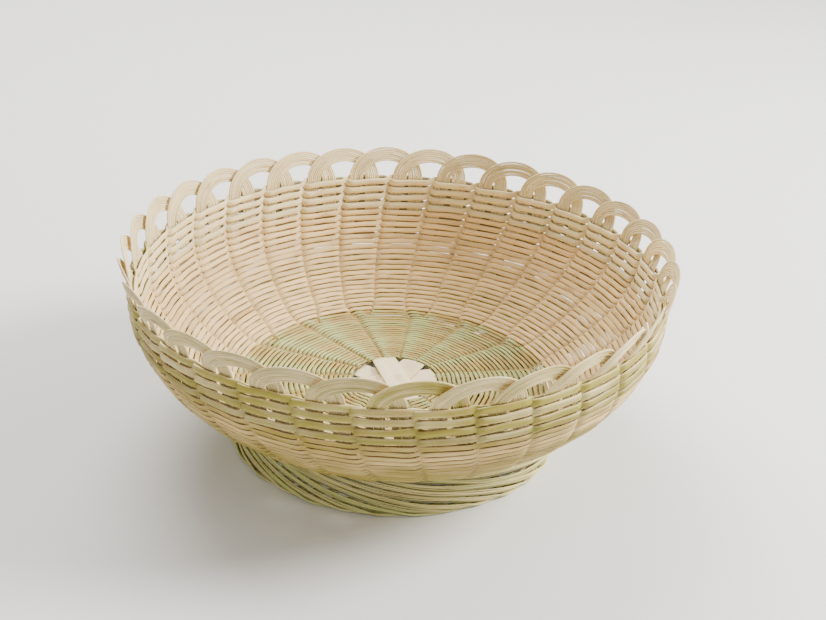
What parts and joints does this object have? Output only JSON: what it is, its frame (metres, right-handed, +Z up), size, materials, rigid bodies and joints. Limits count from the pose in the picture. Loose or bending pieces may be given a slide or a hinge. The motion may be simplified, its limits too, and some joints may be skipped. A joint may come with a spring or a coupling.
{
  "type": "bread basket",
  "caption": "Round open basket twined from split bamboo, with a bowl-shaped wall, a border of overlapping arches and a splayed foot ring.",
  "frame": {"origin": "centre of the foot ring's sole, on the surface that the basket stands on", "axes": "+Z up along the basket's axis; X and Y are level"},
  "size_m": [0.2614, 0.2614, 0.0995],
  "materials": {
    "hub_splint": "satin split bamboo, pale inner face",
    "base_weave": "satin split bamboo, greenish",
    "side_weave": "satin split bamboo, tan to green",
    "wale_rod": "satin split bamboo",
    "stake": "satin split bamboo, cream",
    "foot_border": "satin split bamboo, yellow-green"
  },
  "bodies": {
    "root": {"hub_splint_1": "hub_splint", "hub_splint_2": "hub_splint", "hub_splint_3": "hub_splint", "hub_splint_4": "hub_splint", "base_weave_upper": "base_weave", "base_weave_under": "base_weave", "side_weave_inner_lower": "side_weave", "side_weave_inner_upper": "side_weave", "side_weave_outer_lower": "side_weave", "side_weave_outer_upper": "side_weave", "wale_rod_inner_1": "wale_rod", "wale_rod_inner_2": "wale_rod", "wale_rod_inner_3": "wale_rod", "wale_rod_inner_4": "wale_rod", "wale_rod_outer_1": "wale_rod", "wale_rod_outer_2": "wale_rod", "wale_rod_outer_3": "wale_rod", "wale_rod_outer_4": "wale_rod", "stake_01": "stake", "stake_02": "stake", "stake_03": "stake", "stake_04": "stake", "stake_05": "stake", "stake_06": "stake", "stake_07": "stake", "stake_08": "stake", "stake_09": "stake", "stake_10": "stake", "stake_11": "stake", "stake_12": "stake", "stake_13": "stake", "stake_14": "stake", "stake_15": "stake", "stake_16": "stake", "stake_17": "stake", "stake_18": "stake", "stake_19": "stake", "stake_20": "stake", "stake_21": "stake", "stake_22": "stake", "stake_23": "stake", "stake_24": "stake", "stake_25": "stake", "stake_26": "stake", "stake_27": "stake", "stake_28": "stake", "stake_29": "stake", "stake_30": "stake", "stake_31": "stake", "stake_32": "stake", "foot_border": "foot_border"}
  },
  "joints": []
}
